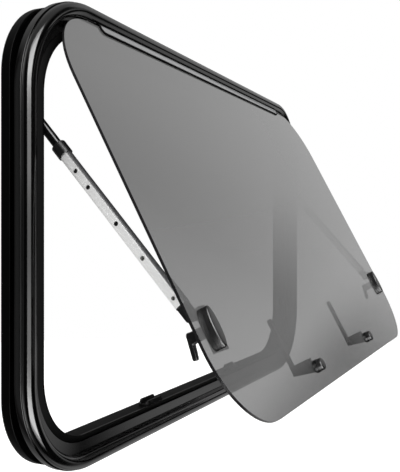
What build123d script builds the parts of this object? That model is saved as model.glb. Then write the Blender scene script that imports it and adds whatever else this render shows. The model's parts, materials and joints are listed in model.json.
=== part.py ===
"""Top-hung caravan window: a bent aluminium frame clamped through the wall, and a tinted glass sash on two stays.

Millimetres. +X runs along the window to the right as seen from outside, the outside lies towards -Y and +Z is up.
The origin is on the flange's flat back face, the plane of the outer wall skin, in the middle of the bottom flange.
The sash is drawn as it stands open on its stays, with every latch turned to its open position.
"""
import os
from math import atan2, cos, degrees, radians, sin, tan

from build123d import *

# Outline of the frame and of the hole it is made for
FRAME_WIDTH = 850.0
FRAME_HEIGHT = 500.0
FRAME_CORNER = 108.0
FLANGE_OVERLAP = 25.0
WALL_THICKNESS = 12.0
CUTOUT_CLEARANCE = 0.5

# Section of the bent frame: rim, round bead, flat land, seal ledge and the spigot that passes through the wall
RIM_DEPTH = 6.5
RIM_GROOVE = 1.5
RIM_GROOVE_DEPTH = 2.2
BEAD_RADIUS = 7.5
BEAD_SETBACK = 1.0
LAND_FRONT = 3.5
SPIGOT_WALL = 3.0
SPIGOT_REACH = 10.0
LEDGE_WIDTH = 4.5
LEDGE_FRONT = 2.0
LEDGE_BACK = 1.0

# Clamp frame on the inside of the wall
CLAMP_INSET = 8.0
CLAMP_SKIN = 2.5
CLAMP_ROUND = 4.0
CLAMP_RIB = 3.0
CLAMP_FIT = 0.5

# Rubber seal on the ledge
SEAL_BASE = 3.6
SEAL_LEAN = 4.0
SEAL_THICKNESS = 2.2
SEAL_GAP = 0.45

# Sash: opening angle, glass and hinge
OPEN_ANGLE = 28.0
GLASS_THICKNESS = 3.0
GLASS_SIDE_GAP = 5.0
GLASS_BOTTOM_GAP = 3.75
GLASS_EDGE = 6.0
GLASS_HOLE_CLEARANCE = 0.3
HINGE_SINK = 1.75
HINGE_LIFT = 2.05
HINGE_ROD_RADIUS = 2.7
HINGE_CLEARANCE = 0.3
HINGE_SETBACK = 20.0
HINGE_END_CLEARANCE = 0.6
HINGE_NECK = 2.4
HINGE_SKIN = 1.6
HINGE_GRIP = 7.5
HINGE_CORNER = 6.0
HINGE_TRIM = 2.0
HINGE_TRIM_TOP = 1.6
HINGE_TRIM_ROUND = 0.6

# Stays: pivots, telescopic tube and rod, all in a plane beside the reveal
STAY_STANDOFF = 18.5
STAY_TOP_DEPTH = 14.0
STAY_TOP_DROP = 125.8
STAY_FOOT_RISE = 17.5
STAY_FOOT_LIFT = 11.0
STAY_PIN_RADIUS = 3.0
PIN_CLEARANCE = 0.3
TUBE_HEIGHT = 13.0
TUBE_WIDTH = 10.5
TUBE_WALL = 1.2
TUBE_ROUND = 4.7
TUBE_START = 51.0
TUBE_HOLE_SETBACKS = (172.0, 150.0, 102.0, 58.0)
TUBE_HOLE_RADIUS = 2.4
ROD_CLEARANCE = 0.3
ROD_STOP = 6.7
ROD_EYE_RADIUS = 6.5
COLLAR_LENGTH = 15.0
COLLAR_SKIN = 1.3
COLLAR_ROUND = 1.0
END_SHANK = 14.2
END_PLUG = 10.0
END_EYE_RADIUS = 5.0
BUTTON_CLEARANCE = 0.2
BUTTON_RISE = 0.8
RIVET_RADIUS = 2.0
RIVET_SETBACK = 9.0

# Stay brackets on the glass and on the frame
CAP_WIDTH = 20.0
CAP_LENGTH = 40.0
CAP_HEIGHT = 4.5
CAP_OFFSET = 4.0
BRACKET_WIDTH = 32.0
BRACKET_OFFSET = 7.0
BRACKET_SKIN = 2.5
BRACKET_OVER = 6.0
BRACKET_UNDER = 22.5
BRACKET_TOP_ROUND = 12.0
LUG_THICKNESS = 4.0
LUG_GAP = 0.3
HANGER_HEIGHT = 26.0
HANGER_WIDTH = 18.0
HANGER_SKIN = 3.0
HANGER_ROUND = 3.0
HANGER_BOSS_RADIUS = 7.0

# Latches: two along the bottom, one at each side
LATCH_OFFSET = 138.0
LATCH_RISE = 25.5
LATCH_CAP_RADIUS = 9.25
LATCH_CAP_HEIGHT = 6.0
LATCH_CAP_ROUND = 2.0
LATCH_BASE_RADIUS = 8.0
LATCH_BASE_HEIGHT = 6.0
LATCH_BASE_CHAMFER = 1.5
STEM_RADIUS = 3.0
LATCH_GAP = 0.3
ARM_WIDTH = 9.0
ARM_HEIGHT = 12.0
ARM_FOOT = 5.5
LEVER_STANDOFF = 30.0
LEVER_THICKNESS = 4.0
LEVER_LENGTH = 74.5
LEVER_WIDTH = 8.0
LEVER_TIP_WIDTH = 9.0
TONGUE_STANDOFF = 26.0
TONGUE_LENGTH = 12.5
TONGUE_WIDTH = 7.0
TONGUE_RISE = 2.5
SIDE_ARM_WIDTH = 8.0
SIDE_ARM_ROUND = 2.0
SIDE_LEVER_STANDOFF = 20.0
SIDE_LEVER_THICKNESS = 5.0
SIDE_LEVER_LENGTH = 21.0
SIDE_LEVER_TIP_WIDTH = 5.5
SIDE_LEVER_TILT = 12.0

# Keepers that the latches turn behind
KEEPER_LENGTH = 40.0
KEEPER_BASE = 2.0
KEEPER_TOOTH = 3.0
KEEPER_RAKE = 1.0
KEEPER_HEIGHT = 6.0
KEEPER_CHAMFER = 3.7
KEEPER_PITCH = 10.5
KEEPER_GAP = 0.95
SIDE_KEEPER_REACH = 10.5
SIDE_KEEPER_LENGTH = 14.0
SIDE_KEEPER_FOOT = 9.0
SIDE_KEEPER_ROUND = 3.0
SIDE_KEEPER_GAP = 1.2
SIDE_KEEPER_RISE = 7.25

# Places worked out from the sizes above
HALF_WIDTH = FRAME_WIDTH / 2
FLANGE_BOTTOM = -FLANGE_OVERLAP / 2
FLANGE_TOP = FLANGE_BOTTOM + FRAME_HEIGHT
BEAD_BASE = RIM_DEPTH + RIM_GROOVE
BEAD_CENTRE = BEAD_SETBACK + BEAD_RADIUS
BEAD_END = BEAD_SETBACK + 2 * BEAD_RADIUS
SPIGOT_DEPTH = WALL_THICKNESS + SPIGOT_REACH
SPIGOT_OUTER = FLANGE_OVERLAP + CUTOUT_CLEARANCE
SPIGOT_INNER = SPIGOT_OUTER + SPIGOT_WALL
LEDGE_END = SPIGOT_INNER + LEDGE_WIDTH
CLAMP_BACK = SPIGOT_DEPTH + CLAMP_SKIN
REVEAL = SPIGOT_INNER + CLAMP_FIT + CLAMP_SKIN
HINGE_INSET = BEAD_END - HINGE_SINK
HINGE_FRONT = BEAD_BASE + HINGE_LIFT
HINGE_HEIGHT = FLANGE_TOP - HINGE_INSET
HINGE_LENGTH = FRAME_WIDTH - 2 * (FRAME_CORNER + HINGE_SETBACK)
HALF_GLASS = GLASS_THICKNESS / 2
GLASS_BACK = HINGE_FRONT - HALF_GLASS
GLASS_TOP_INSET = HINGE_INSET + GLASS_EDGE
GLASS_SIDE_INSET = BEAD_END + GLASS_SIDE_GAP
GLASS_BOTTOM_INSET = BEAD_END + GLASS_BOTTOM_GAP
GLASS_WIDTH = FRAME_WIDTH - 2 * GLASS_SIDE_INSET
GLASS_HEIGHT = FRAME_HEIGHT - GLASS_TOP_INSET - GLASS_BOTTOM_INSET
GLASS_CORNER = FRAME_CORNER - GLASS_SIDE_INSET
LATCH_DOWN = GLASS_HEIGHT - LATCH_RISE
SIDE_LATCH_HEIGHT = FRAME_CORNER + SIDE_KEEPER_RISE + SIDE_KEEPER_LENGTH / 2
SIDE_LATCH_DOWN = FRAME_HEIGHT - GLASS_TOP_INSET - SIDE_LATCH_HEIGHT
STAY_INSET = REVEAL + STAY_STANDOFF
STAY_TOP_Z = FLANGE_TOP - STAY_TOP_DROP
STAY_FOOT_DOWN = SIDE_LATCH_DOWN - STAY_FOOT_RISE
CAP_INSET = STAY_INSET + CAP_OFFSET
BRACKET_TOP = STAY_FOOT_DOWN - BRACKET_OVER
BRACKET_BOTTOM = SIDE_LATCH_DOWN + BRACKET_UNDER
KEEPER_DEPTH = KEEPER_PITCH + KEEPER_TOOTH
KEEPER_FRONT = TONGUE_STANDOFF - HINGE_FRONT - KEEPER_GAP - KEEPER_DEPTH

# The open sash: x along the glass, y up its slope from the top edge, z out of its face
OPEN = radians(OPEN_ANGLE)
SASH = Plane(
    origin=(0, -HINGE_FRONT - GLASS_EDGE * sin(OPEN), HINGE_HEIGHT - GLASS_EDGE * cos(OPEN)),
    x_dir=(1, 0, 0),
    z_dir=(0, -cos(OPEN), sin(OPEN)),
)
SECTION = Plane(origin=(0, 0, FLANGE_BOTTOM), x_dir=(0, 0, 1), z_dir=(1, 0, 0))


def save(shape, name):
    """Write one named piece."""
    shape.label = name
    export_step(shape, f"parts/{name}.step")


def save_pair(shape, name):
    """Write a left-hand piece and its mirror image on the right."""
    save(shape, f"{name}_left")
    save(mirror(shape, about=Plane.YZ), f"{name}_right")


def frame_path():
    """Closed path of the flange's outer edge, from the middle of the bottom, with round corners."""
    x = HALF_WIDTH - FRAME_CORNER
    low = FLANGE_BOTTOM + FRAME_CORNER
    high = FLANGE_TOP - FRAME_CORNER
    edges = []
    here = Vector(0, 0, FLANGE_BOTTOM)
    for centre_x, centre_z, start in ((x, low, -90), (x, high, 0), (-x, high, 90), (-x, low, 180)):
        ring = [
            Vector(
                centre_x + FRAME_CORNER * cos(radians(start + turn)),
                0,
                centre_z + FRAME_CORNER * sin(radians(start + turn)),
            )
            for turn in (0, 45, 90)
        ]
        edges.append(Edge.make_line(here, ring[0]))
        edges.append(Edge.make_three_point_arc(*ring))
        here = ring[2]
    edges.append(Edge.make_line(here, Vector(0, 0, FLANGE_BOTTOM)))
    return Wire(edges)


def bend_round(section):
    """Carry a section, drawn as inset across the flange and height out of the wall, round the frame."""
    return sweep(section, path=frame_path())


def outer_frame():
    """Bent extrusion with rim, bead, land, seal ledge and spigot, notched along the top for the hinge."""
    crest = (BEAD_CENTRE, BEAD_BASE + BEAD_RADIUS)
    with BuildSketch(SECTION) as section:
        with BuildLine():
            Polyline(
                (BEAD_SETBACK, BEAD_BASE),
                (RIM_GROOVE_DEPTH, BEAD_BASE),
                (RIM_GROOVE_DEPTH, RIM_DEPTH),
                (0, RIM_DEPTH),
                (0, 0),
                (SPIGOT_OUTER, 0),
                (SPIGOT_OUTER, -SPIGOT_DEPTH),
                (SPIGOT_INNER, -SPIGOT_DEPTH),
                (SPIGOT_INNER, -LEDGE_BACK),
                (LEDGE_END, -LEDGE_BACK),
                (LEDGE_END, LEDGE_FRONT),
                (SPIGOT_INNER, LEDGE_FRONT),
                (SPIGOT_INNER, LAND_FRONT),
                (BEAD_END, LAND_FRONT),
                (BEAD_END, BEAD_BASE),
            )
            ThreePointArc((BEAD_END, BEAD_BASE), crest, (BEAD_SETBACK, BEAD_BASE))
        make_face()
    notch = Cylinder(
        HINGE_ROD_RADIUS + HINGE_CLEARANCE, HINGE_LENGTH + 2 * HINGE_END_CLEARANCE, rotation=(0, 90, 0)
    )
    return bend_round(section.sketch) - Pos(0, -HINGE_FRONT, HINGE_HEIGHT) * notch


def clamp_frame():
    """Inner ring: a foot against the wall, a rounded back and a liner that covers the spigot."""
    rib = SPIGOT_OUTER - CLAMP_FIT
    skin = CLAMP_SKIN
    with BuildSketch(SECTION) as section:
        with BuildLine():
            Polyline(
                (CLAMP_INSET, -WALL_THICKNESS),
                (CLAMP_INSET + skin, -WALL_THICKNESS),
                (CLAMP_INSET + skin, -SPIGOT_DEPTH),
                (rib - CLAMP_RIB, -SPIGOT_DEPTH),
                (rib - CLAMP_RIB, -WALL_THICKNESS),
                (rib, -WALL_THICKNESS),
                (rib, -SPIGOT_DEPTH),
                (REVEAL - skin, -SPIGOT_DEPTH),
                (REVEAL - skin, -LEDGE_BACK),
                (REVEAL, -LEDGE_BACK),
                (REVEAL, -CLAMP_BACK),
                (CLAMP_INSET, -CLAMP_BACK),
                close=True,
            )
        make_face()
        back_corner = section.vertices().sort_by_distance(Vector(CLAMP_INSET, -CLAMP_BACK, 0))[0]
        fillet(back_corner, CLAMP_ROUND)
    return bend_round(section.sketch)


def glass_seal():
    """Rubber lip that leans into the opening and meets the back of the closed glass."""
    start = SPIGOT_INNER + (LEDGE_WIDTH - SEAL_BASE) / 2
    tip = GLASS_BACK - SEAL_GAP
    with BuildSketch(SECTION) as section:
        with BuildLine():
            Polyline(
                (start, LEDGE_FRONT),
                (start + SEAL_BASE, LEDGE_FRONT),
                (start + SEAL_BASE + SEAL_LEAN, tip),
                (start + SEAL_BASE + SEAL_LEAN - SEAL_THICKNESS, tip),
                (start, LEDGE_FRONT + SEAL_THICKNESS),
                close=True,
            )
        make_face()
    return bend_round(section.sketch)


def glass_place(x, down, lift=0.0):
    """Place on the open sash: along the glass, down its slope from the top edge, and out of its middle plane."""
    return SASH * Pos(x, -down, lift)


def glass_pane():
    """Toughened glass with round corners, bored for the stems of the four caps."""
    sheet = extrude(RectangleRounded(GLASS_WIDTH, GLASS_HEIGHT, GLASS_CORNER), HALF_GLASS, both=True)
    pane = Pos(0, -GLASS_HEIGHT / 2, 0) * sheet
    bore = Cylinder(STEM_RADIUS + GLASS_HOLE_CLEARANCE, 2 * GLASS_THICKNESS)
    for side in (-1, 1):
        pane -= Pos(side * LATCH_OFFSET, -LATCH_DOWN, 0) * bore
        pane -= Pos(side * (HALF_WIDTH - CAP_INSET), -SIDE_LATCH_DOWN, 0) * bore
    return SASH * pane


def hinge_rail():
    """Hinge extrusion along the top of the glass: a rod in the frame's notch, a neck and a grip round the glass edge."""
    grip = HALF_GLASS + HINGE_SKIN
    rod = Pos(0, GLASS_EDGE, 0) * Cylinder(HINGE_ROD_RADIUS, HINGE_LENGTH, rotation=(0, 90, 0))
    neck = Pos(0, GLASS_EDGE / 2, 0) * Box(HINGE_LENGTH, GLASS_EDGE, HINGE_NECK)
    web = Pos(0, HINGE_SKIN / 2, 0) * Box(HINGE_LENGTH, HINGE_SKIN, 2 * grip)
    leaf = Rectangle(HINGE_LENGTH, HINGE_GRIP + HINGE_SKIN)
    lower = leaf.vertices().sort_by(Axis.Y)[:2]
    blade = extrude(fillet(lower, HINGE_CORNER), HINGE_SKIN)
    middle = (HINGE_SKIN - HINGE_GRIP) / 2
    front = Pos(0, middle, HALF_GLASS) * blade
    back = Pos(0, middle, -grip) * blade
    return SASH * (rod + neck + web + front + back)


def hinge_trim():
    """Black rubber gasket all round the hinge's outer leaf."""
    leaf = Rectangle(HINGE_LENGTH, HINGE_GRIP + HINGE_SKIN)
    leaf = fillet(leaf.vertices().sort_by(Axis.Y)[:2], HINGE_CORNER)
    around = Rectangle(HINGE_LENGTH + 2 * HINGE_TRIM, HINGE_GRIP + HINGE_SKIN + HINGE_TRIM + HINGE_TRIM_TOP)
    around = fillet(around.vertices().sort_by(Axis.Y)[:2], HINGE_CORNER + HINGE_TRIM)
    around = Pos(0, (HINGE_TRIM_TOP - HINGE_TRIM) / 2) * around
    gasket = extrude(around, HINGE_TRIM)
    gasket = fillet(gasket.faces().sort_by(Axis.Z)[-1].edges(), HINGE_TRIM_ROUND) - extrude(leaf, HINGE_TRIM)
    return SASH * Pos(0, (HINGE_SKIN - HINGE_GRIP) / 2, HALF_GLASS) * gasket


def stay_line():
    """Upper pivot, lower pivot, length between them, and the plane of the left stay with x from top to foot."""
    x = STAY_INSET - HALF_WIDTH
    top = Vector(x, STAY_TOP_DEPTH, STAY_TOP_Z)
    foot_on_sash = SASH.from_local_coords(Vector(x, -STAY_FOOT_DOWN, -STAY_FOOT_LIFT))
    foot = Vector(x, foot_on_sash.Y, foot_on_sash.Z)
    run = foot - top
    return top, foot, run.length, Plane(origin=top, x_dir=run, z_dir=(1, 0, 0))


def stay_closing():
    """How far the left stay shortens, and through what angle it swings, as the sash shuts."""
    top, foot, length, _ = stay_line()
    shut_foot = Vector(top.X, STAY_FOOT_LIFT - HINGE_FRONT, HINGE_HEIGHT - GLASS_EDGE - STAY_FOOT_DOWN)
    shut_run = top - shut_foot
    swing = atan2(top.Y - foot.Y, top.Z - foot.Z) - atan2(shut_run.Y, shut_run.Z)
    return length - shut_run.length, degrees(swing)


def across_stay(distance):
    """Plane square to the stay at a distance from its upper pivot, with x through the stay's width."""
    return Plane(origin=(distance, 0, 0), x_dir=(0, 0, 1), z_dir=(1, 0, 0))


def tube_oval(margin):
    """Oval of the stay's tube, drawn larger or smaller all round by a margin."""
    return RectangleRounded(TUBE_WIDTH + 2 * margin, TUBE_HEIGHT + 2 * margin, TUBE_ROUND + margin)


def stay_pieces():
    """Telescopic stay at the left: oval rod, collar, drilled tube, end fitting, detent button and rivet."""
    _, _, length, line = stay_line()
    travel, _ = stay_closing()
    half = TUBE_WIDTH / 2
    tube_end = length - END_SHANK
    rod_end = tube_end - END_PLUG - travel - ROD_STOP
    rod_width = TUBE_WIDTH - 2 * (TUBE_WALL + ROD_CLEARANCE)
    outer = tube_oval(0)
    inner = tube_oval(-TUBE_WALL)
    core = tube_oval(-TUBE_WALL - ROD_CLEARANCE)

    rod = extrude(across_stay(0) * core, rod_end) + Cylinder(ROD_EYE_RADIUS, rod_width)
    rod -= Cylinder(STAY_PIN_RADIUS + PIN_CLEARANCE, TUBE_WIDTH)

    tube = extrude(across_stay(TUBE_START) * (outer - inner), tube_end - TUBE_START)
    for setback in TUBE_HOLE_SETBACKS:
        tube -= Pos(tube_end - setback, 0, -half) * Cylinder(TUBE_HOLE_RADIUS, 2 * TUBE_WALL + half)

    collar = extrude(across_stay(TUBE_START - COLLAR_LENGTH / 2) * tube_oval(COLLAR_SKIN), COLLAR_LENGTH)
    ends = collar.faces().filter_by(Axis.X).sort_by(Axis.X)
    collar = fillet(ends[0].edges() + ends[-1].edges(), COLLAR_ROUND)
    collar -= extrude(across_stay(0) * inner, tube_end)
    collar -= extrude(across_stay(TUBE_START) * outer, COLLAR_LENGTH)

    end = extrude(across_stay(tube_end) * outer, TUBE_WALL)
    end += extrude(across_stay(tube_end) * core, -END_PLUG)
    end += Pos(tube_end + END_SHANK / 2, 0, 0) * Box(END_SHANK, 2 * END_EYE_RADIUS, rod_width)
    end += Pos(length, 0, 0) * Cylinder(END_EYE_RADIUS, rod_width)
    stub = half - rod_width / 2
    end += Pos(length, 0, rod_width / 2 + stub / 2) * Cylinder(STAY_PIN_RADIUS, stub)

    button_height = TUBE_WALL + BUTTON_RISE
    button_place = Pos(tube_end - TUBE_HOLE_SETBACKS[-1], 0, TUBE_WALL - half - button_height / 2)
    button = button_place * Cylinder(TUBE_HOLE_RADIUS - BUTTON_CLEARANCE, button_height)
    rivet = Pos(tube_end - RIVET_SETBACK, 0, -half - BUTTON_RISE / 2) * Cylinder(RIVET_RADIUS, BUTTON_RISE)
    pieces = {
        "stay_rod": rod,
        "stay_tube": tube,
        "stay_collar": collar,
        "stay_end": end,
        "stay_button": button,
        "stay_rivet": rivet,
    }
    return {name: line * piece for name, piece in pieces.items()}


def stay_hanger():
    """Bracket on the reveal with the pin that carries the top of the left stay."""
    top, _, _, _ = stay_line()
    base = Pos(0, 0, HANGER_SKIN / 2 - STAY_STANDOFF) * Box(HANGER_HEIGHT, HANGER_WIDTH, HANGER_SKIN)
    base = fillet(base.edges().filter_by(Axis.Z), HANGER_ROUND)
    rod_side = TUBE_WALL + ROD_CLEARANCE - TUBE_WIDTH / 2 - PIN_CLEARANCE
    boss_height = rod_side + STAY_STANDOFF
    boss = Pos(0, 0, rod_side - boss_height / 2) * Cylinder(HANGER_BOSS_RADIUS, boss_height)
    pin_height = TUBE_WIDTH / 2 - rod_side
    pin = Pos(0, 0, rod_side + pin_height / 2) * Cylinder(STAY_PIN_RADIUS, pin_height)
    upright = Plane(origin=top, x_dir=(0, 0, 1), z_dir=(1, 0, 0))
    return upright * (base + boss + pin)


def cap_stem():
    """Stem of a cap, from the cap's foot through the glass."""
    return Cylinder(STEM_RADIUS, GLASS_THICKNESS, align=(Align.CENTER, Align.CENTER, Align.MAX))


def stay_cap():
    """Domed oval cap on the outer face of the glass, with its stem through to the bracket."""
    across = (CAP_WIDTH**2 / 4 + CAP_HEIGHT**2) / (2 * CAP_HEIGHT)
    along = (CAP_LENGTH**2 / 4 + CAP_HEIGHT**2) / (2 * CAP_HEIGHT)
    far = 0.6 * CAP_LENGTH
    low = across - along + (along**2 - far**2) ** 0.5
    outline = Polyline((low, far), (0, far), (0, -far), (low, -far)) + ThreePointArc(
        (low, -far), (across, 0), (low, far)
    )
    dome = Pos(0, 0, CAP_HEIGHT - across) * revolve(make_face(outline), Axis.Y)
    above = Box(2 * across, 2 * CAP_LENGTH, 2 * across, align=(Align.CENTER, Align.CENTER, Align.MIN))
    return glass_place(CAP_INSET - HALF_WIDTH, SIDE_LATCH_DOWN, HALF_GLASS) * ((dome & above) + cap_stem())


def stay_bracket():
    """Plate on the inner face of the glass with the lug that the stay's foot turns on."""
    lug_start = TUBE_WIDTH / 2 + LUG_GAP
    outline = Rectangle(BRACKET_WIDTH, BRACKET_BOTTOM - BRACKET_TOP)
    outline = fillet(outline.vertices().sort_by(Axis.Y)[-2:], BRACKET_TOP_ROUND)
    plate = Pos(BRACKET_OFFSET, -(BRACKET_TOP + BRACKET_BOTTOM) / 2, 0) * extrude(outline, -BRACKET_SKIN)
    reach = STAY_FOOT_LIFT - HALF_GLASS
    lug_middle = lug_start + LUG_THICKNESS / 2
    lug = Pos(lug_middle, -STAY_FOOT_DOWN, -reach / 2) * Box(LUG_THICKNESS, 2 * END_EYE_RADIUS, reach)
    lug += Pos(lug_middle, -STAY_FOOT_DOWN, -reach) * Cylinder(END_EYE_RADIUS, LUG_THICKNESS, rotation=(0, 90, 0))
    return glass_place(STAY_INSET - HALF_WIDTH, 0, -HALF_GLASS) * (plate + lug)


def latch_cap():
    """Round cap on the outer face of the glass, with its stem through to the latch base."""
    cap = Cylinder(LATCH_CAP_RADIUS, LATCH_CAP_HEIGHT, align=(Align.CENTER, Align.CENTER, Align.MIN))
    cap = fillet(cap.faces().sort_by(Axis.Z)[-1].edges(), LATCH_CAP_ROUND) + cap_stem()
    return glass_place(-LATCH_OFFSET, LATCH_DOWN, HALF_GLASS) * cap


def latch_base():
    """Round base of a bottom latch on the inner face of the glass."""
    base = Cylinder(LATCH_BASE_RADIUS, LATCH_BASE_HEIGHT, align=(Align.CENTER, Align.CENTER, Align.MAX))
    base = chamfer(base.faces().sort_by(Axis.Z)[0].edges(), LATCH_BASE_CHAMFER)
    return glass_place(-LATCH_OFFSET, LATCH_DOWN, -HALF_GLASS) * base


def bottom_lever():
    """L-shaped handle of a bottom latch, pointing up when open, with the tongue that turns down behind the keeper."""
    start = -HALF_GLASS - LATCH_BASE_HEIGHT - LATCH_GAP
    deep = -LEVER_STANDOFF - LEVER_THICKNESS
    arm = make_face(
        Polyline((-ARM_FOOT, start), (ARM_HEIGHT, start), (ARM_HEIGHT, deep), (0, deep), close=True)
    )
    lever = extrude(Plane.YZ * arm, ARM_WIDTH / 2, both=True)
    root = Pos(0, ARM_HEIGHT / 2) * Circle(LEVER_WIDTH / 2)
    tip = Pos(0, LEVER_LENGTH - LEVER_TIP_WIDTH / 2) * Circle(LEVER_TIP_WIDTH / 2)
    lever += Pos(0, 0, deep) * extrude(make_hull(root.edges() + tip.edges()), LEVER_THICKNESS)
    reach = TONGUE_LENGTH + TONGUE_WIDTH / 2
    outline = Pos(TONGUE_LENGTH - reach / 2, TONGUE_RISE) * SlotOverall(reach, TONGUE_WIDTH)
    lever += Pos(0, 0, -LEVER_STANDOFF) * extrude(outline, LEVER_STANDOFF - TONGUE_STANDOFF)
    return glass_place(-LATCH_OFFSET, LATCH_DOWN) * lever


def side_lever():
    """Short tapered finger latch below the stay's foot, pointing down and leaning inwards when open."""
    start = -HALF_GLASS - BRACKET_SKIN - LATCH_GAP
    arm = RectangleRounded(SIDE_ARM_WIDTH, ARM_HEIGHT, SIDE_ARM_ROUND)
    lever = Pos(0, 0, start) * extrude(arm, -SIDE_LEVER_STANDOFF - SIDE_LEVER_THICKNESS / 2 - start)
    root = Pos(0, (ARM_HEIGHT - SIDE_ARM_WIDTH) / 2) * Circle(SIDE_ARM_WIDTH / 2)
    tip = Pos(0, SIDE_LEVER_TIP_WIDTH / 2 - SIDE_LEVER_LENGTH) * Circle(SIDE_LEVER_TIP_WIDTH / 2)
    finger = extrude(make_hull(root.edges() + tip.edges()), -SIDE_LEVER_THICKNESS)
    lever += Pos(0, 0, -SIDE_LEVER_STANDOFF) * Rot(SIDE_LEVER_TILT, 0, 0) * finger
    return glass_place(CAP_INSET - HALF_WIDTH, SIDE_LATCH_DOWN) * lever


def bottom_keeper():
    """Two-toothed keeper on the bottom reveal: one tooth holds the sash shut, the other holds it ajar."""
    with BuildSketch(Plane.YZ) as side:
        Rectangle(KEEPER_DEPTH, KEEPER_BASE, align=(Align.MIN, Align.MIN))
        for front in (0, KEEPER_PITCH):
            with BuildLine():
                Polyline(
                    (front, 0),
                    (front + KEEPER_TOOTH, 0),
                    (front + KEEPER_TOOTH, KEEPER_HEIGHT),
                    (front + KEEPER_RAKE, KEEPER_HEIGHT),
                    (front, KEEPER_BASE),
                    close=True,
                )
            make_face()
    keeper = extrude(side.sketch, KEEPER_LENGTH / 2, both=True)
    tooth_tops = keeper.faces().filter_by(Axis.Z).group_by(Axis.Z)[-1]
    keeper = chamfer(tooth_tops.edges().filter_by(Axis.Y), KEEPER_CHAMFER)
    return Pos(-LATCH_OFFSET, KEEPER_FRONT, FLANGE_BOTTOM + REVEAL) * keeper


def side_keeper():
    """Tooth on the side reveal that the left side latch turns behind."""
    lean = (CAP_INSET - REVEAL - SIDE_KEEPER_REACH) * tan(radians(SIDE_LEVER_TILT))
    finger_front = SIDE_LEVER_STANDOFF - HINGE_FRONT + lean
    corner = (Align.MIN, Align.MAX, Align.CENTER)
    tooth = Box(SIDE_KEEPER_REACH, KEEPER_TOOTH, SIDE_KEEPER_LENGTH, align=corner)
    tooth = fillet(tooth.edges().filter_by(Axis.Y).group_by(Axis.X)[-1], SIDE_KEEPER_ROUND)
    foot = Box(KEEPER_BASE, SIDE_KEEPER_FOOT, SIDE_KEEPER_LENGTH, align=corner)
    place = Pos(REVEAL - HALF_WIDTH, finger_front - SIDE_KEEPER_GAP, FLANGE_BOTTOM + SIDE_LATCH_HEIGHT)
    return place * (tooth + foot)


def main():
    """Build and write every piece."""
    os.makedirs("parts", exist_ok=True)
    save(outer_frame(), "outer_frame")
    save(clamp_frame(), "clamp_frame")
    save(glass_seal(), "glass_seal")
    save(glass_pane(), "glass_pane")
    save(hinge_rail(), "hinge_rail")
    save(hinge_trim(), "hinge_trim")
    for name, piece in stay_pieces().items():
        save_pair(piece, name)
    save_pair(stay_hanger(), "stay_hanger")
    save_pair(stay_cap(), "stay_cap")
    save_pair(stay_bracket(), "stay_bracket")
    save_pair(latch_cap(), "latch_cap")
    save_pair(latch_base(), "latch_base")
    save_pair(bottom_lever(), "bottom_lever")
    save_pair(side_lever(), "side_lever")
    save_pair(bottom_keeper(), "bottom_keeper")
    save_pair(side_keeper(), "side_keeper")
    top, foot, length, _ = stay_line()
    travel, swing = stay_closing()
    print("stay length", round(length, 3), "shortens by", round(travel, 4), "swings by", round(swing, 4))
    print("hinge axis", -HINGE_FRONT, HINGE_HEIGHT, "stay top", top, "foot", foot)


if __name__ == "__main__":
    main()
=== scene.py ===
"""Dresses the caravan window: gloss black frame, tinted glass sash, telescopic stays and turn latches."""
import json
import logging
from collections.abc import Callable, Iterable
from dataclasses import dataclass
from enum import Enum
from math import cos, pi, radians, sin, tan

import bmesh
import bpy
from mathutils import Matrix, Vector

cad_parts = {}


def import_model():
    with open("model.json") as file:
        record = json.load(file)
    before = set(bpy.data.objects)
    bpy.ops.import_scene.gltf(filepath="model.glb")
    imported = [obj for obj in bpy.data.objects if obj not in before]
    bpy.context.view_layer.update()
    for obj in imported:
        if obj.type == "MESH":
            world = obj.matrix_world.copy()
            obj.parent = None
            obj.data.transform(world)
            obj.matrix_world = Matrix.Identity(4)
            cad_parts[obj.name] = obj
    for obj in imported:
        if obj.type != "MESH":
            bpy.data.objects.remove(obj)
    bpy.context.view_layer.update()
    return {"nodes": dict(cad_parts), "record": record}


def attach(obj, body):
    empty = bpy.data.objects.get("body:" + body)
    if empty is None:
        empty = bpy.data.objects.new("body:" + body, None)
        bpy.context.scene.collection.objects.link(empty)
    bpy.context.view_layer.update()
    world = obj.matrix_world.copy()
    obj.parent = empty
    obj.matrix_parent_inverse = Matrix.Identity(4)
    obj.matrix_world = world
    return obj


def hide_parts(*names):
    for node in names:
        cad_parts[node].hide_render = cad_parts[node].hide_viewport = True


MM = 0.001
SOLID_MERGE = 0.002 * MM
SECTION_MERGE = 0.01 * MM
FLAT_ANGLE = 0.6
EDGE_ANGLE = 40.0
SMOOTH_ANGLE = 32.0
BROAD_EDGE = 1.0
WHITE = (1.0, 1.0, 1.0, 1.0)
log = logging.getLogger("caravan_window")

Piece = bpy.types.Object
Material = bpy.types.Material
Tree = bpy.types.NodeTree
Socket = bpy.types.NodeSocket
Colour = tuple[float, float, float, float]
Point = tuple[float, float]
Ease = tuple[list[Point], float]


class Side(Enum):
    """The two ends of the window as seen from outside."""

    LEFT = -1
    RIGHT = 1

    @property
    def label(self) -> str:
        """Ending of the names of the pieces on this side."""
        return self.name.lower()


# Small helpers for materials


def linear(code: str) -> Colour:
    """Turn an sRGB hex colour into the linear values that a shader takes.

    Args:
        code: Six hex digits after a hash sign.

    Returns:
        Red, green, blue and an alpha of 1.
    """
    parts = [int(code[i:i + 2], 16) / 255 for i in (1, 3, 5)]
    red, green, blue = (p / 12.92 if p <= 0.04045 else ((p + 0.055) / 1.055) ** 2.4 for p in parts)
    return red, green, blue, 1.0


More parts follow.
